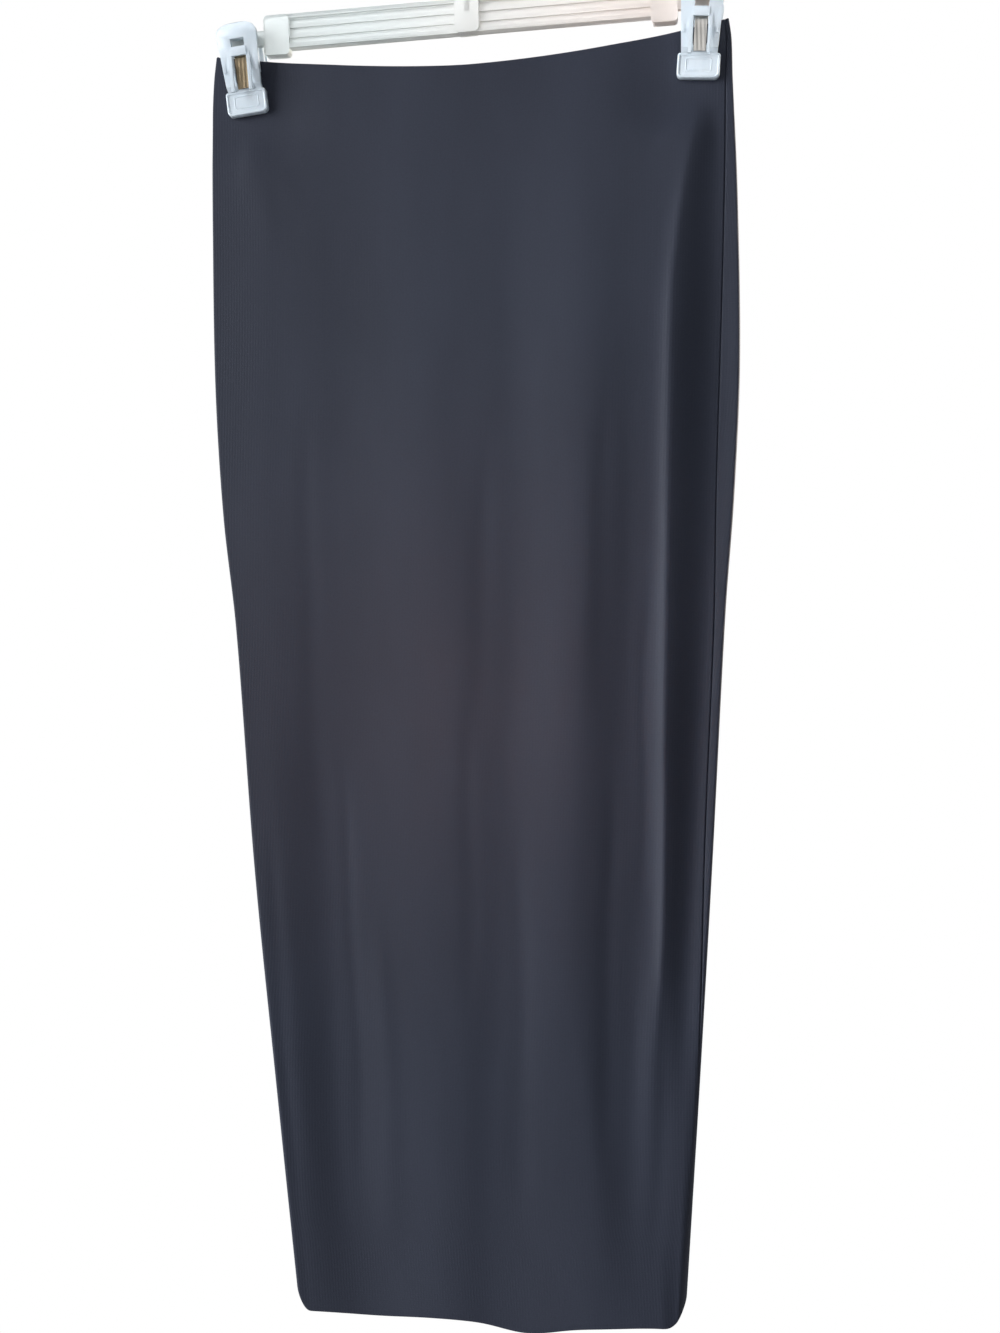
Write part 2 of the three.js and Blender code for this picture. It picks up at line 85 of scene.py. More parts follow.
# Flutes from the left edge to the right: places across at six heights, from -1 to 1, and how far the cloth
# stands out from the middle plane at each of them.
FOLD_HEIGHTS = (-108, -260, -460, -640, -760, -876)
FRONT_FOLDS = (
    ("left edge", (-1, -1, -1, -1, -1, -1), (3, 4, 4.4, 6.4, 7, 6.4)),
    ("left crest", (-0.8, -0.76, -0.84, -0.93, -0.93, -0.93), (3.4, 4.9, 4.8, 6.2, 6.4, 6)),
    ("left valley", (-0.6, -0.54, -0.6, -0.66, -0.7, -0.66), (3.6, 5.4, 4, 2, 2.3, 4.4)),
    ("broad crest", (-0.1, -0.1, -0.04, -0.08, -0.1, -0.12), (4, 8.4, 8.7, 7.2, 8.4, 10.8)),
    ("middle valley", (0.12, 0.12, 0.12, 0.09, 0.04, 0), (3.9, 9, 8.2, 6.4, 7.7, 10.4)),
    ("second crest", (0.46, 0.46, 0.44, 0.4, 0.5, 0.6), (3.8, 12.9, 12.8, 9.8, 13, 17)),
    ("right valley", (0.72, 0.63, 0.64, 0.68, 0.7, 0.78), (3.7, 11.9, 8.2, 5.6, 9.4, 16.9)),
    ("ridge", (0.9, 0.75, 0.765, 0.8, 0.8, 0.88), (3.9, 14.4, 12.8, 9.8, 10.4, 16.7)),
    ("ridge foot", (0.96, 0.93, 0.93, 0.92, 0.94, 0.96), (3.5, 2.8, 2.4, 2.8, 9.8, 15)),
    ("right edge", (1, 1, 1, 1, 1, 1), (3, 4, 4, 4.6, 9, 12)),
)
BACK_FOLDS = (
    ("left edge", (-1, -1, -1, -1, -1, -1), (3, 4, 4.7, 5.3, 6, 7)),
    ("left ridge", (-0.74, -0.74, -0.76, -0.78, -0.79, -0.8), (4.5, 13, 14, 14.2, 14.6, 15)),
    ("left valley", (-0.5, -0.5, -0.51, -0.51, -0.52, -0.52), (4.5, 8, 7.8, 8.4, 9.6, 11)),
    ("middle crest", (-0.08, -0.08, -0.1, -0.12, -0.13, -0.14), (6, 15, 15.6, 16.8, 18.8, 21)),
    ("middle valley", (0.25, 0.25, 0.24, 0.22, 0.21, 0.2), (6, 10, 9.2, 9.4, 10.5, 12)),
    ("right crest", (0.56, 0.56, 0.57, 0.59, 0.6, 0.6), (5, 14, 14.8, 15.6, 16.8, 18)),
    ("right edge", (1, 1, 1, 1, 1, 1), (3, 4, 4.6, 5.6, 6.8, 8)),
)
# Flutes that come to an edge instead of a round top between two heights, and how much of one on each side.
SHARP = {"ridge": (1.0, 0.3)}
ROUND = (0.0, 0.0)
SHARP_TOP, SHARP_TOP_FADE = -150.0, 60.0
SHARP_END, SHARP_END_FADE = -740.0, 120.0

# Lesser creases: place across and height of the upper end, the same of the lower end, how wide the trough
# is, and how deep (less than 0 is a ridge).
FRONT_CREASES = (
    (-0.64, -300, -0.7, -620, 6, 0.3),
    (-0.56, -520, -0.62, -830, 4, 0.4),
    (-0.44, -620, -0.5, -860, 7, -0.6),
    (0.06, -330, 0.02, -560, 6, 0.5),
    (-0.02, -480, -0.06, -700, 5, 0.45),
    (0.2, -560, 0.16, -840, 6, 0.5),
    (0.52, -300, 0.5, -520, 6, 0.6),
    (0.55, -520, 0.6, -800, 5, 0.7),
    (0.7, -420, 0.7, -650, 3, 0.4),
    (0.8, -650, 0.86, -860, 5, 0.6),
    (-0.9, -560, -0.93, -820, 5, 0.5),
)
BACK_CREASES = (
    (-0.62, -260, -0.66, -640, 5, 0.7),
    (-0.3, -420, -0.36, -820, 7, 0.8),
    (0.05, -300, 0.02, -610, 6, 0.6),
    (0.12, -540, 0.1, -850, 5, 0.5),
    (0.4, -380, 0.42, -800, 6, 0.7),
    (0.7, -240, 0.74, -560, 5, 0.6),
    (0.82, -520, 0.84, -840, 5, 0.5),
)
# How far a crease strays from its straight line, and over what height.
SLOW_WANDER, SLOW_WANDER_Z = 1.6, 57.0
QUICK_WANDER, QUICK_WANDER_Z = 0.7, 23.0
# The pull of the clips, as short soft ridges that fan out below each jaw: side, lean in degrees, length,
# width and depth.
FANS = (
    (-1, -4, 62, 5, -0.35),
    (-1, 10, 95, 7, -0.45),
    (-1, 27, 70, 6, -0.3),
    (1, 5, 60, 5, -0.3),
    (1, -12, 80, 7, -0.4),
    (1, -30, 75, 7, -0.35),
)

# ---- Cloth make-up, in millimetres ----
JERSEY_THICK = 0.55
FOLD_RADIUS = 0.8  # of the turned waist edge and hem
CASING_DEPTH = 26.0
HEM_DEPTH = 22.0
SEAM_ALLOWANCE = 3.6
SEAM_GAP = 0.3
SEAM_SEWN_GAP = 0.05  # inside, where the two allowances meet
# How a panel's surface sinks towards its seam: distance from the panel's edge, and share of the lip's depth.
SEAM_LIP = ((0.02, 0.9), (0.12, 0.5), (0.35, 0.24), (0.7, 0.09), (1.2, 0.02), (3.0, 0.0))
HEM_CORNERS = ((-1, 0.93, 16.0), (1, 0.9, 15.0))  # side, where its rise starts, and how much
HEM_CORNER_POWER = 2.5
HEM_SAGS = ((-0.6, 2.2, 0.24), (0.2, 6.2, 0.21), (0.85, -1.6, 0.2))  # place across, depth, width
SEWN_SHARES = (1.0, 0.6)  # of the allowance, turned in at the sewn edge's two columns
LIP_SHARE = 0.35  # of the allowance that the lip's own columns turn in
SEAM_ROOM = 0.6  # of the depth between the panel and the middle plane that an allowance may fill
LEAST_DEPTH, LEAST_SLANT = 0.6, 0.15  # so that an allowance keeps some room at the silhouettes

# ---- Mesh ----
BODY_COLUMNS = 150
TURNED_ROWS = 7
ROUND_ROWS = 6
ROUND_ANGLES = (25.0, 155.0)
BAND_ROWS = 14
DROP_ROWS = 215


def soft(t):
    """From 0 to 1 with level ends."""
    t = np.clip(t, 0.0, 1.0)
    return t * t * (3.0 - 2.0 * t)


def curve_through(places, values, at):
    """A smooth curve through the values at rising places, held level beyond them."""
    places, values = np.asarray(places, float), np.asarray(values, float)
    slopes = np.empty_like(values)
    slopes[1:-1] = (values[2:] - values[:-2]) / (places[2:] - places[:-2])
    slopes[0] = (values[1] - values[0]) / (places[1] - places[0])
    slopes[-1] = (values[-1] - values[-2]) / (places[-1] - places[-2])
    k = np.clip(np.searchsorted(places, at) - 1, 0, len(places) - 2)
    span = places[k + 1] - places[k]
    t = np.clip((at - places[k]) / span, 0.0, 1.0)
    t2, t3 = t * t, t * t * t
    return (
        values[k] * (2 * t3 - 3 * t2 + 1)
        + values[k + 1] * (3 * t2 - 2 * t3)
        + span * (slopes[k] * (t3 - 2 * t2 + t) + slopes[k + 1] * (t3 - t2))
    )


def at_level(column, z):
    rows = sorted(LEVELS)
    k = LEVEL_COLUMNS.index(column)
    return curve_through([row[0] for row in rows], [row[k] for row in rows], z)


def stand_out(folds, across, z):
    """How far a panel stands out from the middle plane, before its edges are rounded."""
    places = [curve_through(FOLD_HEIGHTS[::-1], places[::-1], z) for _, places, _ in folds]
    outs = [curve_through(FOLD_HEIGHTS[::-1], outs[::-1], z) for _, _, outs in folds]
    keen = soft((SHARP_TOP - z) / SHARP_TOP_FADE) * soft((z - SHARP_END) / SHARP_END_FADE)
    total = outs[0]
    for k in range(len(folds) - 1):
        t = np.clip((across - places[k]) / (places[k + 1] - places[k]), 0.0, 1.0)
        before = keen * SHARP.get(folds[k][0], ROUND)[1]
        after = keen * SHARP.get(folds[k + 1][0], ROUND)[0]
        share = soft(t) + before * (2.0 * t - t * t - soft(t)) + after * (t**4 - soft(t))
        total = total + (outs[k + 1] - outs[k]) * share
    return total


def bump(distance, width):
    """1 in the middle, falling away smoothly on both sides."""
    return np.exp(-((distance / width) ** 2))


def crease_depth(creases, x, half_width, middle, z):
    """Millimetres that the lesser creases sink the cloth."""
    depth = np.zeros_like(x)
    for top_across, top_z, low_across, low_z, width, deep in creases:
        t = (z - top_z) / (low_z - top_z)
        line = middle + half_width * (top_across + (low_across - top_across) * t)
        slow = SLOW_WANDER * np.sin(z / SLOW_WANDER_Z + 9.0 * top_across)
        wander = slow + QUICK_WANDER * np.sin(z / QUICK_WANDER_Z + top_z)
        ends = soft(4.0 * t) * soft(4.0 * (1.0 - t))
        depth = depth + deep * ends * bump(x - line - wander, width * (0.8 + 0.6 * np.clip(t, 0, 1)))
    return depth


def fan_depth(x, z):
    """Millimetres that the clips' pull sinks the cloth: ridges from the jaws' lower edge, so less than 0."""
    depth = np.zeros_like(x)
    for side, lean, length, width, deep in FANS:
        t = (PINCH_Z - z) / length
        line = side * PINCH_X + np.tan(np.radians(lean)) * (PINCH_Z - z)
        ends = soft(5.0 * t) * soft(1.6 * (1.0 - t))
        depth = depth + deep * ends * bump(x - line, width * (0.7 + np.clip(t, 0, 1)))
    return depth


def pinch(x, z):
    """How firmly the clips hold the cloth flat: 1 under their jaws."""
    beside = soft((np.abs(np.abs(x) - PINCH_X) - PINCH_HALF_WIDTH) / PINCH_SIDE_FADE)
    below = soft((PINCH_Z - z) / PINCH_DROP_FADE)
    return (1.0 - beside) * (1.0 - below)


def tube(turn, z):
    """Points on the outside of the tube: turn runs from the right silhouette over the front to the left."""
    across = np.cos(turn)
    left, right = at_level("left", z), at_level("right", z)
    half_width, middle = (right - left) / 2.0, (left + right) / 2.0
    x = middle + half_width * across
    in_front = np.sin(turn) >= 0.0
    held = pinch(x, z)
    pieces = []
    for folds, creases in ((FRONT_FOLDS, FRONT_CREASES), (BACK_FOLDS, BACK_CREASES)):
        out = stand_out(folds, across, z) - crease_depth(creases, x, half_width, middle, z) - fan_depth(x, z)
        edge = stand_out(folds, np.sign(across), z)
        out, edge = out + (PINCHED - out) * held, edge + (PINCHED - edge) * held
        inward = np.clip(half_width * (1.0 - np.abs(across)) / (EDGE_REACH * edge), 0.0, 1.0)
        pieces.append(out * np.clip(1.0 - (1.0 - inward) ** EDGE_POWER, 0.0, 1.0) ** (1.0 / EDGE_POWER))
    y = np.where(in_front, -pieces[0], pieces[1])
    return x, y


# ---- Panels ----
def panel_rows():
    """Rows of a panel from the casing's inner edge, over the waist, down the outside and up the hem.
    Each is (kind, share of that stretch, inward offset, lift of z)."""
    inner = 2.0 * FOLD_RADIUS
    low, high = ROUND_ANGLES
    rows = [("casing", share, inner, 0.0) for share in np.linspace(1.0, 0.0, TURNED_ROWS)]
    for angle in np.radians(np.linspace(high, low, ROUND_ROWS)):
        rows.append(("waist", 0.0, FOLD_RADIUS * (1.0 - np.cos(angle)), FOLD_RADIUS * np.sin(angle)))
    rows += [("band", share, 0.0, 0.0) for share in np.linspace(0.0, 1.0, BAND_ROWS + 1)[:-1]]
    rows += [("drop", share, 0.0, 0.0) for share in np.linspace(0.0, 1.0, DROP_ROWS + 1)]
    for angle in np.radians(np.linspace(low, high, ROUND_ROWS)):
        rows.append(("hem", 0.0, FOLD_RADIUS * (1.0 - np.cos(angle)), -FOLD_RADIUS * np.sin(angle)))
    rows += [("turn-up", share, inner, 0.0) for share in np.linspace(0.0, 1.0, TURNED_ROWS)]
    return rows


def waist_height(turn):
    across = np.cos(turn)
    left = WAIST_RISE_LEFT * np.abs(across) ** WAIST_BEND_LEFT
    right = WAIST_RISE_RIGHT * np.abs(across) ** WAIST_BEND_RIGHT
    return WAIST_MIDDLE_Z + np.where(across < 0, left, right)


def hem_height(turn):
    """The hem rises round its two corners and sags a little in places."""
    across = np.cos(turn)
    z = np.full_like(across, HEM_Z)
    for side, start, lift in HEM_CORNERS:
        z = z + lift * np.clip((side * across - start) / (1.0 - start), 0.0, 1.0) ** HEM_CORNER_POWER
    for place, depth, width in HEM_SAGS:
        z = z - depth * bump(across - place, width)
    return z


def row_z(rows, turn):
    """The height of every point of a panel, before the lift round the turned edges."""
    kinds = np.array([kind for kind, *_ in rows])[:, None]
    share = np.array([row[1] for row in rows])[:, None]
    top = waist_height(turn) - FOLD_RADIUS
    bottom = hem_height(turn) + FOLD_RADIUS
    z = np.where(kinds == "drop", PINCH_Z + (bottom - PINCH_Z) * share, top - share * CASING_DEPTH)
    z = np.where(kinds == "band", top + (PINCH_Z - top) * share, z)
    return np.where((kinds == "hem") | (kinds == "turn-up"), bottom + share * HEM_DEPTH, z)


def side_step(turn, z):
    """The level way out of the tube, and millimetres moved per radian of turn."""
    step = 1e-4
    x0, y0 = tube(turn - step, z)
    x1, y1 = tube(turn + step, z)
    along_x, along_y = (x1 - x0) / (2 * step), (y1 - y0) / (2 * step)
    speed = np.hypot(along_x, along_y)
    return -along_y / speed, along_x / speed, speed


def panel_points(first_column, first_from, last_column, last_from):
    """The panel's grid of points in metres and its UVs: arc across, and height, both in metres."""
    rows = panel_rows()
    inset = np.array([row[2] for row in rows])[:, None]
    lift = np.array([row[3] for row in rows])[:, None]
    ends = np.full((len(rows), 2), (first_from, last_from), float)
    heights = row_z(rows, ends)
    for k, column in enumerate((first_column, last_column)):
        ends[:, k] += np.radians(at_level(column, heights[:, k]))
    heights = row_z(rows, ends)
    speeds = side_step(ends, heights)[2]
    lip = np.array(SEAM_LIP)
    first = ends[:, :1] + (SEAM_GAP / 2 + lip[:, 0]) / speeds[:, :1]
    last = ends[:, 1:] - (SEAM_GAP / 2 + lip[::-1, 0]) / speeds[:, 1:]
    body = first[:, -1:] + (last[:, :1] - first[:, -1:]) * np.linspace(0.0, 1.0, BODY_COLUMNS + 2)[1:-1]
    sewn_first = ends[:, :1] + SEAM_SEWN_GAP / 2 / speeds[:, :1]
    sewn_last = ends[:, 1:] - SEAM_SEWN_GAP / 2 / speeds[:, 1:]
    turns = np.hstack([sewn_first, sewn_first, first, body, last, sewn_last, sewn_last])
    z = row_z(rows, turns)
    x, y = tube(turns, z)
    out_x, out_y, _ = side_step(turns, z)
    rolled = np.zeros(turns.shape[1])
    edge = np.concatenate([SEWN_SHARES, lip[:, 1] * LIP_SHARE])
    rolled[: len(edge)], rolled[-len(edge) :] = edge, edge[::-1]
    depth = SEAM_ROOM * (np.abs(y) + LEAST_DEPTH) / np.maximum(np.abs(out_y), LEAST_SLANT)
    room = np.minimum(SEAM_ALLOWANCE, depth)
    sunk = inset + rolled * room
    points = np.stack([x - out_x * sunk, y - out_y * sunk, z + lift], axis=-1) * MM
    steps = np.hypot(np.diff(x, axis=1), np.diff(y, axis=1))
    arc = np.hstack([np.zeros((len(rows), 1)), np.cumsum(steps, axis=1)])
    uvs = np.stack([arc + rolled * SEAM_ALLOWANCE, z - inset], axis=-1) * MM
    return points, uvs


def grid_mesh(name, points, uvs):
    """A quad mesh over a grid of points, with a UV map, facing out of the tube."""
    rows, columns = points.shape[:2]
    index = np.arange(rows * columns).reshape(rows, columns)
    quads = np.stack([index[:-1, :-1], index[:-1, 1:], index[1:, 1:], index[1:, :-1]], axis=-1).reshape(-1, 4)
    mesh = bpy.data.meshes.new(name)
    mesh.from_pydata(points.reshape(-1, 3), [], quads)
    layer = mesh.uv_layers.new(name="cloth")
    layer.data.foreach_set("uv", uvs.reshape(-1, 2)[quads.reshape(-1)].astype(np.float32).reshape(-1))
    mesh.polygons.foreach_set("use_smooth", [True] * len(quads))
    mesh.update()
    piece = bpy.data.objects.new(name, mesh)
    bpy.context.scene.collection.objects.link(piece)
    return piece


def make_panel(name, node, seams, material):
    piece = grid_mesh(name, *panel_points(*seams))
    thick = piece.modifiers.new("jersey", "SOLIDIFY")
    thick.thickness = JERSEY_THICK * MM
    thick.offset = -1.0
    piece.data.materials.append(material)
    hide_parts(node)
    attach(piece, "root")
    return piece


# ---- Materials ----
def new_material(name):
    material = bpy.data.materials.new(name)
    material.use_nodes = True
    nodes = material.node_tree.nodes
    return material, nodes, material.node_tree.links, nodes["Principled BSDF"]


WAVE_STEP = 2.0 * np.pi / 20.0  # metres from band to band of a wave texture of scale 1
WALE_STEP, COURSE_STEP = 0.0017765, 0.0013817


def jersey_material():
    """Slinky knit: fine wales and courses, a soft sheen and slow drifts of tone."""
    material, nodes, links, shader = new_material("dark_jersey")
    place = nodes.new("ShaderNodeUVMap")
    place.uv_map = "cloth"
    stretch = nodes.new("ShaderNodeMapping")
    stretch.inputs["Scale"].default_value = (1.0, 0.35, 1.0)
    links.new(place.outputs[0], stretch.inputs["Vector"])
    drift = nodes.new("ShaderNodeTexNoise")
    drift.inputs["Scale"].default_value = 14.0
    drift.inputs["Detail"].default_value = 3.0
    links.new(stretch.outputs[0], drift.inputs["Vector"])
    heather = nodes.new("ShaderNodeTexNoise")
    heather.inputs["Scale"].default_value = 900.0
    heather.inputs["Detail"].default_value = 2.0
    links.new(place.outputs[0], heather.inputs["Vector"])
    both = nodes.new("ShaderNodeMath")
    both.operation = "MULTIPLY_ADD"
    both.inputs[1].default_value = 0.55
    links.new(heather.outputs["Fac"], both.inputs[0])
    links.new(drift.outputs["Fac"], both.inputs[2])
    tone = nodes.new("ShaderNodeValToRGB")
    tone.color_ramp.elements[0].position = 0.45
    tone.color_ramp.elements[0].color = (0.0180, 0.0210, 0.0338, 1.0)
    tone.color_ramp.elements[1].position = 1.05
    tone.color_ramp.elements[1].color = (0.0262, 0.0306, 0.0474, 1.0)
    links.new(both.outputs[0], tone.inputs["Fac"])
    links.new(tone.outputs["Color"], shader.inputs["Base Color"])
    shader.inputs["Roughness"].default_value = 0.62
    shader.inputs["Specular IOR Level"].default_value = 0.22
    shader.inputs["Sheen Weight"].default_value = 0.08
    shader.inputs["Sheen Roughness"].default_value = 0.45
    shader.inputs["Sheen Tint"].default_value = (0.75, 0.82, 1.0, 1.0)
    wales = nodes.new("ShaderNodeTexWave")
    wales.wave_type = "BANDS"
    wales.bands_direction = "X"
    wales.inputs["Scale"].default_value = WAVE_STEP / WALE_STEP
    wales.inputs["Distortion"].default_value = 0.6
    wales.inputs["Detail"].default_value = 1.0
    links.new(place.outputs[0], wales.inputs["Vector"])
    courses = nodes.new("ShaderNodeTexWave")
    courses.bands_direction = "Y"
    courses.inputs["Scale"].default_value = WAVE_STEP / COURSE_STEP
    courses.inputs["Distortion"].default_value = 0.8
    links.new(place.outputs[0], courses.inputs["Vector"])
    knit = nodes.new("ShaderNodeMath")
    knit.operation = "MULTIPLY_ADD"
    knit.inputs[1].default_value = 0.5
    links.new(courses.outputs["Fac"], knit.inputs[0])
    links.new(wales.outputs["Fac"], knit.inputs[2])
    bump_from(nodes, links, knit.outputs[0], shader, 0.18, 0.0002)
    return material


def object_noise(nodes, links, scale):
    place = nodes.new("ShaderNodeTexCoord")
    noise = nodes.new("ShaderNodeTexNoise")
    noise.inputs["Scale"].default_value = scale
    noise.inputs["Detail"].default_value = 3.0
    links.new(place.outputs["Object"], noise.inputs["Vector"])
    return noise


def ramp_between(nodes, links, source, low, high, socket):
    ramp = nodes.new("ShaderNodeValToRGB")
    ramp.color_ramp.elements[0].color = (*low, 1.0)
    ramp.color_ramp.elements[1].color = (*high, 1.0)
    links.new(source, ramp.inputs["Fac"])
    links.new(ramp.outputs["Color"], socket)


def bump_from(nodes, links, source, shader, strength, distance):
    relief = nodes.new("ShaderNodeBump")
    relief.inputs["Strength"].default_value = strength
    relief.inputs["Distance"].default_value = distance
    links.new(source, relief.inputs["Height"])
    links.new(relief.outputs["Normal"], shader.inputs["Normal"])


def level_ramp(nodes, links, left, right, left_colour, right_colour, socket):
    """A colour that changes over the object's width, from the left place to the right one."""
    place = nodes.new("ShaderNodeTexCoord")
    parts = nodes.new("ShaderNodeSeparateXYZ")
    links.new(place.outputs["Object"], parts.inputs[0])
    along = nodes.new("ShaderNodeMapRange")
    along.inputs["From Min"].default_value = left
    along.inputs["From Max"].default_value = right
    links.new(parts.outputs["X"], along.inputs["Value"])
    ramp_between(nodes, links, along.outputs[0], left_colour, right_colour, socket)
    return place


def clear_plastic():
    """Clear moulding a little cloudy and greenish, with a painted warm reflection towards its right end."""
    material, nodes, links, shader = new_material("clear_moulding")
    # painted reflection: the base colour turns warmer towards the bar's right end, in place of a warm
    # reflection
    level_ramp(nodes, links, -0.06, 0.12, (0.72, 0.76, 0.75), (0.83, 0.75, 0.70), shader.inputs["Base Color"])
    shader.inputs["Transmission Weight"].default_value = 0.4
    shader.inputs["Roughness"].default_value = 0.28
    shader.inputs["IOR"].default_value = 1.42
    noise = object_noise(nodes, links, 70.0)
    bump_from(nodes, links, noise.outputs["Fac"], shader, 0.2, 0.0012)
    return material


def frosted_plastic():
    material, nodes, links, shader = new_material("frosted_moulding")
    noise = object_noise(nodes, links, 160.0)
    ramp_between(nodes, links, noise.outputs["Fac"], (0.80, 0.90, 0.98), (0.90, 0.96, 1.0),
                 shader.inputs["Base Color"])
    shader.inputs["Transmission Weight"].default_value = 0.25
    shader.inputs["Roughness"].default_value = 0.3
    shader.inputs["IOR"].default_value = 1.45
    shader.inputs["Coat Weight"].default_value = 0.4
    shader.inputs["Coat Roughness"].default_value = 0.12
    bump_from(nodes, links, noise.outputs["Fac"], shader, 0.12, 0.0004)
    return material


def spring_steel():
    """Rolled steel with fine ribs, goldish on the left clip and greyer on the right one."""
    material, nodes, links, shader = new_material("rolled_steel")
    colour = shader.inputs["Base Color"]
    place = level_ramp(nodes, links, -0.1, 0.1, (0.36, 0.28, 0.18), (0.46, 0.44, 0.41), colour)
    shader.inputs["Metallic"].default_value = 1.0
    shader.inputs["Roughness"].default_value = 0.36
    ribs = nodes.new("ShaderNodeTexWave")
    ribs.bands_direction = "X"
    ribs.inputs["Scale"].default_value = 130.0
    links.new(place.outputs["Object"], ribs.inputs["Vector"])
    bump_from(nodes, links, ribs.outputs["Fac"], shader, 0.2, 0.0003)
    return material


def hook_wire():
    material, nodes, links, shader = new_material("plated_wire")
    noise = object_noise(nodes, links, 120.0)
    ramp_between(nodes, links, noise.outputs["Fac"], (0.62, 0.63, 0.65), (0.78, 0.79, 0.8),
                 shader.inputs["Base Color"])
    shader.inputs["Metallic"].default_value = 1.0
    shader.inputs["Roughness"].default_value = 0.22
    bump_from(nodes, links, noise.outputs["Fac"], shader, 0.05, 0.0003)
    return material


# ---- Hanger and clips ----
# A clip's own millimetres start at CLIP_X and CLIP_Z, with Z up and its front to -Y.
CLIP_X, CLIP_Z, CLIP_LEAN = 142.4, -84.0, np.radians(5.0)
JAW_TOP, JAW_BOTTOM, JAW_WIDTH = -33.5, -47.8, 25.4
JAW_FRONT = -6.2
LEVER_EDGE, BAR_EDGE = 0.35, 0.4
RIM_IN, RIM_BELOW_TOP, RIM_RADII = 0.8, 0.6, (0.75, 0.6)
RIM_CORNERS = (2.6, 1.4)  # radii at its foot and its top
JAW_PANEL_IN = (5.2, 4.2, 3.0)  # from the jaw's sides, its foot and its top
JAW_PANEL_CORNERS, JAW_PANEL_RADII = (1.0, 1.0), (0.4, 0.25)
# The ribs beside a lever's slot: how far from its middle they run, and their depth, height and two radii.
RIB_X = 5.8
RIB = (
    (-11.9, 0.6, 0.3, 0.2),
    (-11.7, -3.0, 0.95, 0.6),
    (-9.4, -26.0, 1.0, 0.7),
    (-8.8, -31.0, 1.0, 0.7),
    (-7.2, -33.6, 0.8, 0.4),
)


def finish_piece(piece, node, material):
    piece.data.materials.clear()
    piece.data.materials.append(material)
    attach(piece, "root")
    if node:
        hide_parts(node)
    return piece


def moulded(node, edge, material):
    """The node's own form with its edges rounded, as a moulding has them."""
    form = bmesh.new()
    form.from_mesh(bpy.data.objects[node].data)
    bmesh.ops.remove_doubles(form, verts=form.verts, dist=0.001 * MM)
    bmesh.ops.dissolve_limit(form, angle_limit=np.radians(1.0), verts=form.verts, edges=form.edges)
    mesh = bpy.data.meshes.new(node + "_moulded")
    form.to_mesh(mesh)
    form.free()
    piece = bpy.data.objects.new(node + "_moulded", mesh)
    bpy.context.scene.collection.objects.link(piece)
    rounded = piece.modifiers.new("edges", "BEVEL")
    rounded.width = edge * MM
    rounded.segments = 3
    rounded.limit_method = "ANGLE"
    rounded.angle_limit = np.radians(25.0)
    rounded.harden_normals = True
    mesh.polygons.foreach_set("use_smooth", [True] * len(mesh.polygons))
    return finish_piece(piece, node, material)


def clip_matrix(side, face):
    """From a clip's own millimetres, for its front or back lever, to the scene."""
    way = -1 if side == "left" else 1
    turn = Matrix.Rotation(np.pi if face == "back" else 0.0, 4, "Z")
    lean = Matrix.Rotation(way * CLIP_LEAN, 4, "Y")
    return Matrix.Scale(MM, 4) @ Matrix.Translation((way * CLIP_X, 0.0, CLIP_Z)) @ lean @ turn


def swept(name, route, radii, place, closed=False, sides=10):
    """A round bar along a route of points, each with its own two radii: level, and in depth."""
    route, count = [Vector(point) for point in route], len(route)
    form = bmesh.new()
    rings = []
    for k, point in enumerate(route):
        before = route[(k - 1) % count] if closed or k else point
        after = route[(k + 1) % count] if closed or k < count - 1 else point
        along = (after - before).normalized()
        deep = Vector((0.0, 1.0, 0.0))
        level = along.cross(deep).normalized()
        deep = level.cross(along)
        wide, thick = radii[k] if len(radii) > 1 else radii[0]
        angles = [2.0 * np.pi * turn / sides for turn in range(sides)]
        ring = [point + level * wide * np.cos(a) + deep * thick * np.sin(a) for a in angles]
        rings.append([form.verts.new(place @ corner) for corner in ring])
    for k in range(count if closed else count - 1):
        here, there = rings[k], rings[(k + 1) % count]
        for turn in range(sides):
            after = (turn + 1) % sides
            form.faces.new((here[turn], here[after], there[after], there[turn]))
    if not closed:
        form.faces.new(reversed(rings[0]))
        form.faces.new(rings[-1])
    bmesh.ops.recalc_face_normals(form, faces=form.faces)
    mesh = bpy.data.meshes.new(name)
    form.to_mesh(mesh)
    form.free()
    mesh.polygons.foreach_set("use_smooth", [True] * len(mesh.polygons))
    piece = bpy.data.objects.new(name, mesh)
    bpy.context.scene.collection.objects.link(piece)
    return piece


def rounded_route(half_width, low, high, low_radius, high_radius, y):
    """A closed route round a rectangle in X and Z with rounded corners."""
    corners = (
        (half_width - low_radius, low + low_radius, low_radius, -90),
        (half_width - high_radius, high - high_radius, high_radius, 0),
        (-half_width + high_radius, high - high_radius, high_radius, 90),
        (-half_width + low_radius, low + low_radius, low_radius, 180),
    )
    route = []
    for x, z, radius, start in corners:
        for angle in np.radians(np.linspace(start, start + 90, 6)):
            route.append((x + radius * np.cos(angle), y, z + radius * np.sin(angle)))
    return route


def clip_details(side, face, plastic):
    """The raised rims and ribs that the levers' mouldings have."""
    name, place = f"clip_{side}_{face}", clip_matrix(side, face)
    half = JAW_WIDTH / 2
    beside, above, below = JAW_PANEL_IN
    rim = rounded_route(half - RIM_IN, JAW_BOTTOM + RIM_IN, JAW_TOP - RIM_BELOW_TOP, *RIM_CORNERS, JAW_FRONT)
    inner = rounded_route(half - beside, JAW_BOTTOM + above, JAW_TOP - below, *JAW_PANEL_CORNERS, JAW_FRONT)
    pieces = [
        swept(name + "_jaw_rim", rim, [RIM_RADII], place, closed=True),
        swept(name + "_jaw_panel", inner, [JAW_PANEL_RADII], place, closed=True),
    ]
    for way, word in ((-1, "left"), (1, "right")):
        route = [(way * RIB_X, y, z) for y, z, *_ in RIB]
        radii = [(level, deep) for *_, level, deep in RIB]
        pieces.append(swept(f"{name}_rib_{word}", route, radii, place))
    for piece in pieces:
        finish_piece(piece, None, plastic)


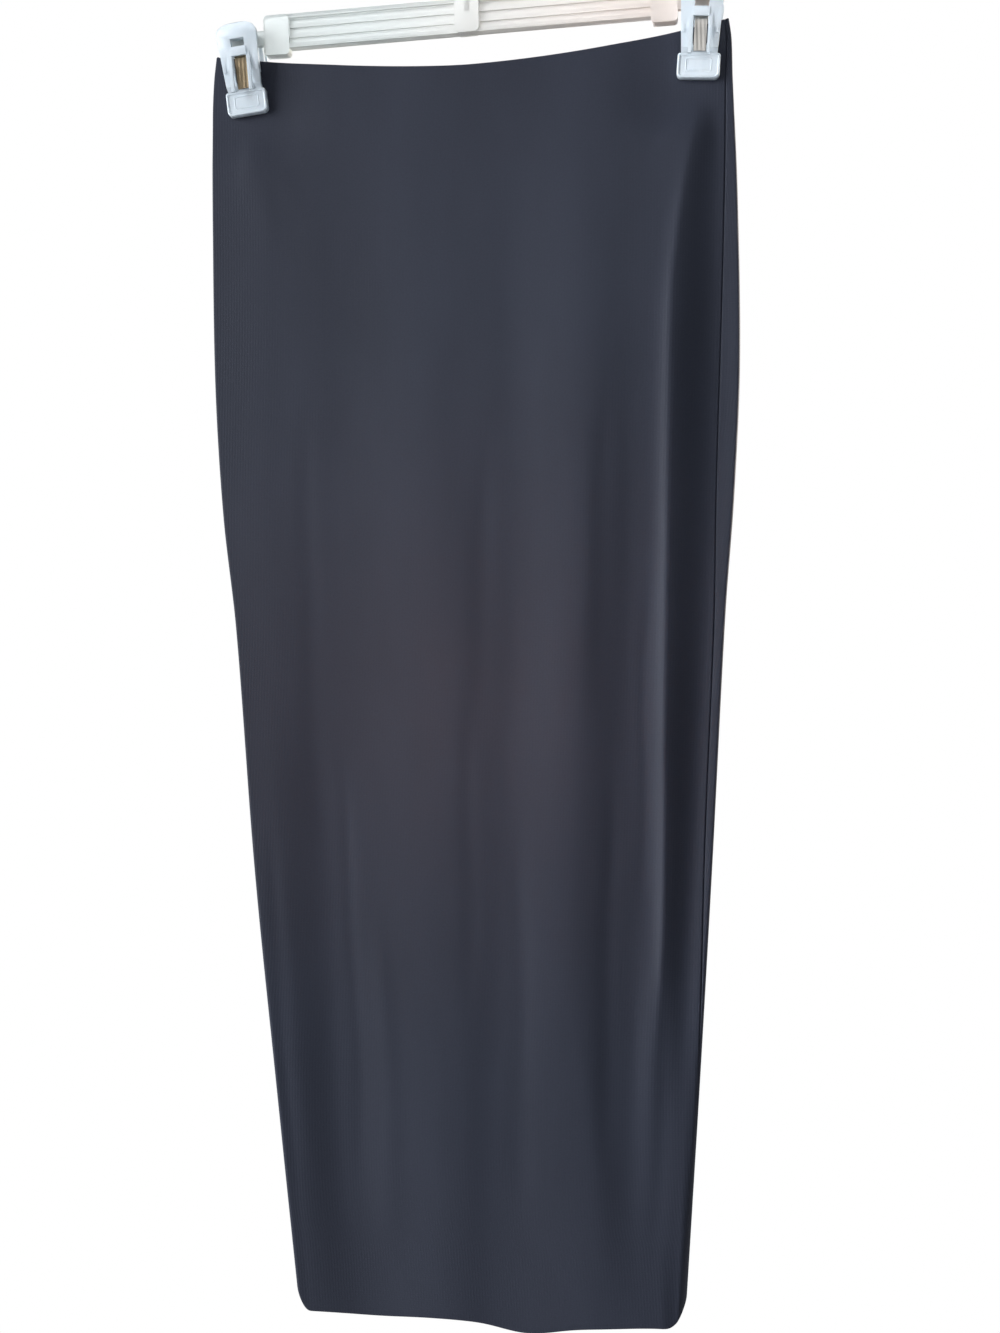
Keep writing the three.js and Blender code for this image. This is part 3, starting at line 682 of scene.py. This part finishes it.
def dress_nodes(names, material):
    for name in names:
        piece = bpy.data.objects[name]
        if not piece.material_slots:
            piece.data.materials.append(material)
        piece.material_slots[0].link = "OBJECT"
        piece.material_slots[0].material = material


# ---- Camera, lights and stage ----
CAMERA_TARGET = Vector((0.009, 0.0, -0.4783))
CAMERA_DISTANCE = 0.9
CAMERA_AZIMUTH, CAMERA_TILT, CAMERA_ROLL = np.radians((8.0, 1.0, -1.594))
FOCAL_SHARE = 1.09895  # focal length over the frame's height
SENSOR = 36.0


def make_camera():
    data = bpy.data.cameras.new("camera")
    data.sensor_fit = "VERTICAL"
    data.sensor_height = SENSOR
    data.lens = SENSOR * FOCAL_SHARE
    data.clip_start = 0.01
    camera = bpy.data.objects.new("camera", data)
    bpy.context.scene.collection.objects.link(camera)
    level = np.cos(CAMERA_TILT)
    back = Vector((np.sin(CAMERA_AZIMUTH) * level, -np.cos(CAMERA_AZIMUTH) * level, np.sin(CAMERA_TILT)))
    right = (-back).cross(Vector((0, 0, 1))).normalized()
    up = right.cross(-back)
    turned_right = right * np.cos(CAMERA_ROLL) + up * np.sin(CAMERA_ROLL)
    turned_up = up * np.cos(CAMERA_ROLL) - right * np.sin(CAMERA_ROLL)
    turn = Matrix((turned_right, turned_up, back)).transposed().to_4x4()
    camera.matrix_world = Matrix.Translation(CAMERA_TARGET + back * CAMERA_DISTANCE) @ turn
    bpy.context.scene.camera = camera


# Where each light stands, where it aims, its size, watts, colour, and the degrees it spreads over.
LIGHTS = {
    "window": ((-5.8, -2.9, 0.6), (0.0, 0.0, -0.45), (5.0, 5.0), 715.0, (0.95, 0.97, 1.0), 180.0),
    "front_fill": ((0.5, -1.5, 0.35), (0.05, 0.0, -0.2), (1.0, 1.0), 6.0, (0.97, 0.98, 1.0), 180.0),
    "inner_fill": ((-0.9, -1.5, 0.05), (0.12, 0.0, -0.35), (0.2, 0.9), 0.17, (0.97, 0.98, 1.0), 20.0),
    "warm_side": ((1.2, 0.6, -0.15), (0.15, 0.0, -0.14), (0.3, 0.5), 3.6, (1.0, 0.9, 0.8), 55.0),
    "back": ((-0.6, 2.3, 0.2), (0.0, 0.0, -0.45), (1.4, 1.6), 20.0, (0.97, 0.98, 1.0), 180.0),
    "warm_glow": ((-0.3, -1.6, -0.5), (-0.01, 0.0, -0.5), (0.05, 0.05), 0.03, (1.0, 0.3, 0.08), 16.0),
}


def studio_light():
    for name, (at, aim, size, watts, colour, spread) in LIGHTS.items():
        data = bpy.data.lights.new(name, "AREA")
        data.shape = "RECTANGLE"
        data.size, data.size_y = size
        data.energy = watts
        data.color = colour
        data.spread = np.radians(spread)
        light = bpy.data.objects.new(name, data)
        light.location = at
        light.rotation_euler = (Vector(aim) - Vector(at)).to_track_quat("-Z", "Y").to_euler()
        bpy.context.scene.collection.objects.link(light)


def white_surroundings():
    """White where it is seen, and a dim even light on the object."""
    world = bpy.data.worlds.new("studio")
    bpy.context.scene.world = world
    world.use_nodes = True
    nodes, links = world.node_tree.nodes, world.node_tree.links
    nodes.clear()
    seen = nodes.new("ShaderNodeBackground")
    seen.inputs["Color"].default_value = (1.0, 1.0, 1.0, 1.0)
    dim = nodes.new("ShaderNodeBackground")
    dim.inputs["Color"].default_value = (0.9, 0.95, 1.0, 1.0)
    dim.inputs["Strength"].default_value = 0.14
    path = nodes.new("ShaderNodeLightPath")
    either = nodes.new("ShaderNodeMath")
    either.operation = "MAXIMUM"
    mix = nodes.new("ShaderNodeMixShader")
    out = nodes.new("ShaderNodeOutputWorld")
    links.new(path.outputs["Is Camera Ray"], either.inputs[0])
    links.new(path.outputs["Is Transmission Ray"], either.inputs[1])
    links.new(either.outputs[0], mix.inputs["Fac"])
    links.new(dim.outputs[0], mix.inputs[1])
    links.new(seen.outputs[0], mix.inputs[2])
    links.new(mix.outputs[0], out.inputs["Surface"])


FLOOR_RADIUS, FLOOR_DROP = 0.8, 0.42


def make_floor():
    """A plain pale round floor well below the hem."""
    mesh = bpy.data.meshes.new("floor")
    ring = bmesh.new()
    bmesh.ops.create_circle(ring, cap_ends=True, segments=64, radius=FLOOR_RADIUS)
    ring.to_mesh(mesh)
    ring.free()
    floor = bpy.data.objects.new("floor", mesh)
    floor.location = (0.0, 0.0, CAD_BOX[0][2] - FLOOR_DROP)
    bpy.context.scene.collection.objects.link(floor)
    material, nodes, links, shader = new_material("pale_floor")
    noise = object_noise(nodes, links, 3.0)
    ramp_between(nodes, links, noise.outputs["Fac"], (0.84, 0.84, 0.84), (0.88, 0.88, 0.88),
                 shader.inputs["Base Color"])
    shader.inputs["Roughness"].default_value = 0.9
    floor.data.materials.append(material)


make_camera()
white_surroundings()
studio_light()
make_floor()
bpy.context.scene.view_settings.view_transform = "Standard"

jersey = jersey_material()
front = make_panel("skirt_front", "front_panel", ("right_seam", 0.0, "left_seam", np.pi), jersey)
back = make_panel("skirt_back", "back_panel", ("left_seam", np.pi, "right_seam", 2 * np.pi), jersey)

frosted = frosted_plastic()
for side in ("left", "right"):
    for face in ("front", "back"):
        moulded(f"clip_{side}_{face}", LEVER_EDGE, frosted)
        clip_details(side, face, frosted)
moulded("hanger_bar", BAR_EDGE, clear_plastic())
dress_nodes(["clip_left_spring", "clip_right_spring"], spring_steel())
dress_nodes(["hanger_hook"], hook_wire())
